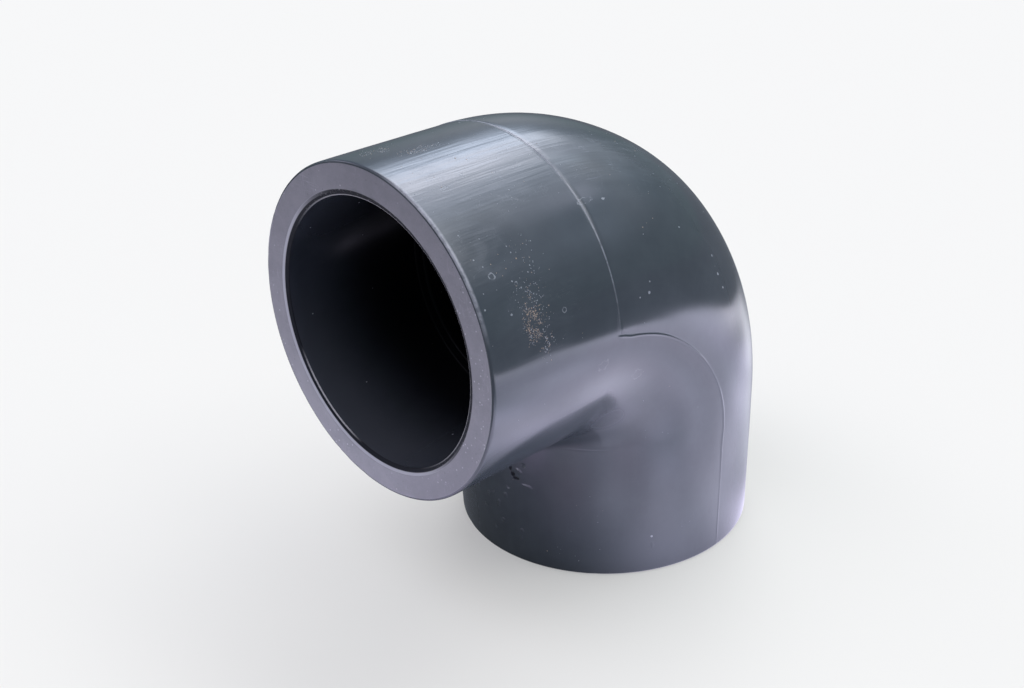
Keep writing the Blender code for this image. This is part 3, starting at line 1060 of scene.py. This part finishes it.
# Soft pools of light on the table: x, y and radius in metres, colour.
FLOOR_POOLS = [
    (0.0255, -0.0255, 0.014, (0.049, 0.048, 0.084)), (0.036, -0.0, 0.014, (1.124, 1.076, 1.487)),
    (0.0255, 0.0255, 0.014, (1.12, 1.031, 1.418)), (0.026, -0.045, 0.015, (0.488, 0.368, 0.548)),
    (0.045, -0.026, 0.015, (1.259, 1.288, 1.689)), (0.052, -0.0, 0.015, (1.007, 0.969, 1.213)),
    (0.045, 0.026, 0.015, (1.504, 1.492, 1.884)), (0.0, -0.07, 0.017, (1.183, 0.97, 1.582)),
    (0.0268, -0.0647, 0.017, (0.307, 0.378, 0.406)), (0.0495, -0.0495, 0.017, (0.337, 0.348, 0.468)),
    (0.0647, -0.0268, 0.017, (0.54, 0.403, 0.57)), (0.07, -0.0, 0.017, (1.613, 1.604, 2.206)),
    (0.0647, 0.0268, 0.017, (0.921, 0.836, 1.124)), (0.0495, 0.0495, 0.017, (1.582, 1.535, 1.953)),
    (-0.046, -0.0797, 0.02, (2.32, 2.286, 2.976)), (-0.016, -0.0906, 0.02, (1.401, 1.435, 1.763)),
    (0.046, -0.0797, 0.02, (1.707, 1.488, 2.161)), (0.0705, -0.0591, 0.02, (1.828, 1.847, 2.477)),
    (0.0865, -0.0315, 0.02, (1.772, 1.758, 2.356)), (0.092, -0.0, 0.02, (0.512, 0.557, 0.704)),
    (0.0865, 0.0315, 0.02, (1.765, 1.781, 2.33)), (0.0705, 0.0591, 0.02, (0.766, 0.732, 0.956)),
    (0.046, 0.0797, 0.02, (1.697, 1.67, 2.154)), (-0.0705, -0.0971, 0.025, (2.863, 2.881, 3.218)),
    (-0.0371, -0.1141, 0.025, (2.415, 2.465, 3.142)), (0.0971, -0.0705, 0.025, (1.337, 1.275, 1.671)),
    (0.1141, -0.0371, 0.025, (0.71, 0.874, 1.213)), (0.1141, 0.0371, 0.025, (0.899, 0.879, 1.193)),
    (0.0971, 0.0705, 0.025, (1.153, 1.054, 1.419)), (0.0705, 0.0971, 0.025, (0.696, 0.733, 0.9)),
    (0.0371, 0.1141, 0.025, (1.181, 1.147, 1.53)), (-0.0479, -0.1474, 0.033, (1.815, 1.82, 2.234)),
    (0.1474, 0.0479, 0.033, (0.812, 0.844, 1.147)), (0.1254, 0.0911, 0.033, (1.52, 1.565, 1.968)),
    (0.0911, 0.1254, 0.033, (0.858, 0.758, 1.13)), (-0.1658, -0.1205, 0.046, (1.441, 1.322, 1.629)),
    (-0.0633, -0.195, 0.046, (0.788, 0.675, 0.764)), (0.195, 0.0633, 0.046, (2.035, 1.951, 2.297)),
    (0.1658, 0.1205, 0.046, (3.801, 3.872, 4.776)), (0.1205, 0.1658, 0.046, (1.972, 1.992, 2.571)),
    (0.0633, 0.195, 0.046, (2.33, 2.268, 2.637)), (-0.2679, -0.111, 0.075, (1.872, 1.852, 2.376)),
    (-0.048, 0.108, 0.04, (0.45, 0.46, 0.51)), (0.024, 0.056, 0.015, (0.58, 0.59, 0.7)),
    (0.02, 0.08, 0.017, (0.8, 0.81, 0.94)), (0.012, 0.112, 0.022, (0.9, 0.91, 1.03)),
    (0.008, 0.142, 0.024, (0.95, 0.96, 1.05)), (0.008, 0.176, 0.026, (0.95, 0.96, 1.05)),
]
# Outline of the lit part of the table: degrees from +X towards +Y, mm from the origin.
LIT_OUTLINE = [
    (-180.0, 430.0), (-30.0, 430.0), (6.0, 250.0), (20.7, 182.0), (26.7, 165.0),
    (33.0, 150.0), (38.6, 151.0), (45.4, 180.0), (58.9, 230.0), (80.4, 216.0),
    (100.0, 240.0), (130.0, 430.0), (180.0, 430.0),
]
OUTLINE_SCALE = 500.0                  # mm shown as white in the outline's ramp


def direction(azimuth, elevation):
    """Unit vector; azimuth from -Y towards +X, both in radians."""
    return (np.sin(azimuth) * np.cos(elevation), -np.cos(azimuth) * np.cos(elevation),
            np.sin(elevation))


def lobe_sharpness(width):
    return 1.0 / (1 - math.cos(width * DEGREE))


def studio_world():
    world = bpy.data.worlds.new("studio")
    bpy.context.scene.world = world
    world.use_nodes = True
    net = Net(world.node_tree)
    background = net.tree.nodes["Background"]
    looking = net.node("ShaderNodeTexCoord").outputs["Generated"]
    up = net.ramp(net.split(looking)[2], over=(0.0, 1.0))
    total = net.mix(up, AMBIENT_SIDE, AMBIENT_TOP)
    for azimuth, elevation, width, colour in SKY:
        centre = direction(azimuth * DEGREE, elevation * DEGREE)
        cosine = net.vec("DOT_PRODUCT", looking, centre)
        lobe = net.times(net.minus(cosine, 1.0), lobe_sharpness(width))
        total = net.vec("ADD", total, net.vec("SCALE", colour, net.math("EXPONENT", lobe)))
    net.put(background.inputs["Color"], total)
    background.inputs["Strength"].default_value = 1.0
    plain = net.node("ShaderNodeBackground")
    net.put(plain.inputs["Color"], BACKDROP)
    shown = net.seen_directly(background.outputs[0], plain.outputs[0])
    net.put(net.tree.nodes["World Output"].inputs["Surface"], shown)


def open_light():
    """What a white matt table would show where nothing shades it, per channel."""
    elevation, azimuth = np.meshgrid((np.arange(90) + 0.5) * DEGREE,
                                     (np.arange(180) + 0.5) * 2 * DEGREE, indexing="ij")
    looking = np.stack(direction(azimuth, elevation), -1)
    up = rise(looking[..., 2], 0.0, 1.0)[..., None]
    light = (1 - up) * np.array(AMBIENT_SIDE) + up * np.array(AMBIENT_TOP)
    for lobe_azimuth, lobe_elevation, width, colour in SKY:
        centre = np.array(direction(lobe_azimuth * DEGREE, lobe_elevation * DEGREE))
        lobe = np.exp((looking @ centre - 1) * lobe_sharpness(width))
        light = light + lobe[..., None] * np.array(colour)
    weight = (np.sin(elevation) * np.cos(elevation))[..., None] * DEGREE * 2 * DEGREE / math.pi
    return [float(value) for value in (light * weight).sum((0, 1))]


def table_as_seen(net, position):
    """A pale matt table with a soft shadow, running out into the backdrop."""
    matt = net.node("ShaderNodeBsdfDiffuse")
    net.put(matt.inputs["Color"], [shade / light for shade, light in zip(BACKDROP, open_light())])
    far = net.node("ShaderNodeEmission")
    net.put(far.inputs["Color"], BACKDROP)
    away = net.ramp(net.vec("LENGTH", position), over=(0.14, 0.60), to=(1.0 - SHADOW, 1.0))
    return net.mix_shaders(away, matt.outputs[0], far.outputs[0])


def lit_reach(net, position):
    """Distance from the origin to the lit part's outline, in this direction, as a grey."""
    parts = net.split(position)
    angle = net.math("ARCTAN2", parts[1], parts[0])
    turn = net.math("DIVIDE", net.plus(angle, math.pi), 2 * math.pi)
    outline = net.node("ShaderNodeValToRGB")
    ramp = outline.color_ramp
    ramp.interpolation = "CARDINAL"
    while len(ramp.elements) < len(LIT_OUTLINE):
        ramp.elements.new(0.5)
    for stop, (degrees, _) in zip(ramp.elements, LIT_OUTLINE):
        stop.position = (degrees + 180.0) / 360.0
    for stop, (_, reach) in zip(ramp.elements, LIT_OUTLINE):
        stop.color = (*[reach / OUTLINE_SCALE] * 3, 1.0)
    net.put(outline.inputs["Fac"], turn)
    return outline.outputs["Color"]


def table_as_light(net, position):
    """What the object sees: a light table in soft pools, whose edge the skin mirrors."""
    total = net.colour((0.0, 0.0, 0.0))
    for x, y, radius, colour in FLOOR_POOLS:
        distance = net.vec("LENGTH", net.vec("SUBTRACT", position, (x, y, 0.0)))
        squared = net.math("POWER", net.math("DIVIDE", distance, radius), 2.0)
        pool = net.math("EXPONENT", net.times(squared, -1.0))
        total = net.vec("ADD", total, net.vec("SCALE", colour, pool))
    reach = net.times(lit_reach(net, position), OUTLINE_SCALE * MM)
    beyond = net.minus(net.vec("LENGTH", position), reach)
    total = net.vec("SCALE", total, net.ramp(beyond, over=(0.006, -0.006)))
    total = net.vec("ADD", total, net.colour(FLOOR_BASE))
    glow = net.node("ShaderNodeEmission")
    net.put(glow.inputs["Color"], total)
    return glow.outputs[0]


def table_material():
    material = bpy.data.materials.new("pale_table")
    material.use_nodes = True
    net = Net(material.node_tree)
    net.tree.nodes.remove(net.tree.nodes["Principled BSDF"])
    position = net.node("ShaderNodeNewGeometry").outputs["Position"]
    seen = table_as_seen(net, position)
    shown = net.seen_directly(table_as_light(net, position), seen)
    net.put(net.tree.nodes["Material Output"].inputs["Surface"], shown)
    return material


def studio_floor():
    steps = [(i / FLOOR_CELLS - 0.5) * 2 * FLOOR_HALF for i in range(FLOOR_CELLS + 1)]
    row = FLOOR_CELLS + 1
    corners = [j * row + i for j in range(FLOOR_CELLS) for i in range(FLOOR_CELLS)]
    mesh = bpy.data.meshes.new("floor")
    mesh.from_pydata([(x, y, FLOOR_Z) for y in steps for x in steps], [],
                     [(k, k + 1, k + row + 1, k + row) for k in corners])
    mesh.update()
    floor = bpy.data.objects.new("floor", mesh)
    bpy.context.scene.collection.objects.link(floor)
    mesh.materials.append(table_material())


studio_world()
studio_floor()
bpy.context.scene.view_settings.view_transform = "Standard"
bpy.context.scene.view_settings.look = "None"

# ---------------------------------------------------------------------- camera
CAMERA_AZIMUTH, CAMERA_ELEVATION, CAMERA_ROLL = 0.7405, 0.3718, -0.0060    # radians
CAMERA_DISTANCE = 257.6952             # mm from the crossing of the axes
SENSOR_WIDTH, LENS = 36.0, 44.2705078  # mm
CROSSING_OFFSET = (0.07144729, 0.081111773)    # right and up, per unit of depth in the view


def camera_axes():
    """The camera's right, up and forward in the row frame."""
    forward = -np.array(direction(CAMERA_AZIMUTH, CAMERA_ELEVATION))
    right = np.cross(forward, [0, 0, 1.0])
    right /= np.linalg.norm(right)
    up = np.cross(right, forward)
    cosine, sine = math.cos(CAMERA_ROLL), math.sin(CAMERA_ROLL)
    aimed = np.stack([cosine * right + sine * up, -sine * right + cosine * up, forward])
    # turned off the crossing by the shortest rotation, which leaves it at its offset
    target = np.array([*CROSSING_OFFSET, 1.0])
    target /= np.linalg.norm(target)
    x, y, z = np.cross([0, 0, 1.0], target)
    skew = np.array([[0, -z, y], [z, 0, -x], [-y, x, 0]])
    return (np.eye(3) + skew + skew @ skew / (1 + target[2])) @ aimed


def add_camera():
    data = bpy.data.cameras.new("camera")
    camera = bpy.data.objects.new("camera", data)
    bpy.context.scene.collection.objects.link(camera)
    data.sensor_width = SENSOR_WIDTH
    data.lens = LENS
    data.clip_start, data.clip_end = 0.01, 20.0
    right, up, forward = camera_axes()
    back = np.array(direction(CAMERA_AZIMUTH, CAMERA_ELEVATION))
    matrix = np.eye(4)
    matrix[:3, :3] = np.stack([right, up, -forward], 1)
    matrix[:3, 3] = back * CAMERA_DISTANCE * MM + np.array([0, CROSS_Y, CROSS_Z]) * MM
    camera.matrix_world = Matrix(matrix.tolist())
    bpy.context.scene.camera = camera


add_camera()
